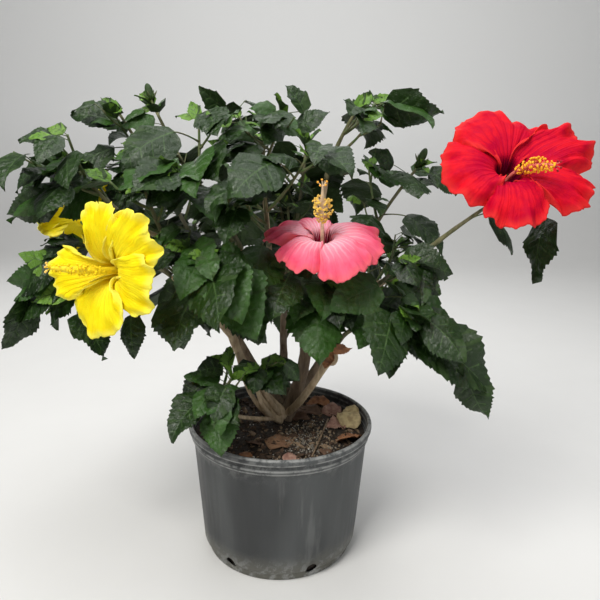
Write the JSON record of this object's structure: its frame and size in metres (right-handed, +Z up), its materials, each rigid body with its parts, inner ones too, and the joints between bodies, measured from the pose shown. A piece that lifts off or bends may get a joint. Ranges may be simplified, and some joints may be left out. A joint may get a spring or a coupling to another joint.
{
  "type": "potted hibiscus shrub",
  "caption": "Spreading hibiscus shrub with glossy dark foliage and large red, pink and yellow blooms, in a squat round black plastic nursery pot filled with bark mix.",
  "frame": {"origin": "the middle of the pot's flat underside", "axes": "+Z up, +Y from the side of the three large blooms to the back, +X towards the red bloom's side"},
  "size_m": [0.6794, 0.444, 0.6226],
  "materials": {
    "pot": "dusty dark grey nursery pot plastic with pale mineral marks",
    "soil": "dark bark and perlite potting mix, matte",
    "bark": "greyish tan hibiscus bark, matte",
    "foliage": "glossy dark green leaves with lighter young tips",
    "red_petal": "soft scarlet petals with a dark throat",
    "pink_petal": "soft coral pink petals with pale rays round a dark red throat",
    "yellow_petal": "soft clear yellow petals"
  },
  "bodies": {
    "root": {"pot": "pot", "soil": "soil", "trunk": "bark", "bough_right": "bark", "bough_left": "bark", "bough_low_centre": "bark", "bough_sprig": "bark", "bough_back_left": "bark", "bough_back": "bark", "bough_back_right": "bark", "bough_left_rise": "bark", "bough_centre_rise": "bark", "bough_right_rise": "bark", "bough_red": "bark", "bough_far_left": "bark", "bough_low_left": "bark", "foliage_top_right": "foliage", "foliage_far_left": "foliage", "foliage_left_centre": "foliage", "foliage_right_low": "foliage", "foliage_red_spray": "foliage", "foliage_centre_front": "foliage", "foliage_low_left": "foliage", "foliage_sprig": "foliage", "foliage_low_centre": "foliage", "foliage_left_inner": "foliage", "foliage_upper_left": "foliage", "foliage_centre": "foliage", "foliage_top_centre": "foliage", "foliage_bud_spray": "foliage", "foliage_right_mid": "foliage", "foliage_right_upper": "foliage", "foliage_top_left": "foliage", "foliage_back_left": "foliage", "foliage_back_centre": "foliage", "foliage_back_right": "foliage", "foliage_back_top": "foliage", "foliage_back_low": "foliage", "bloom_red": "red_petal", "bloom_pink": "pink_petal", "bloom_yellow": "yellow_petal", "bloom_yellow_back": "yellow_petal"}
  },
  "joints": []
}
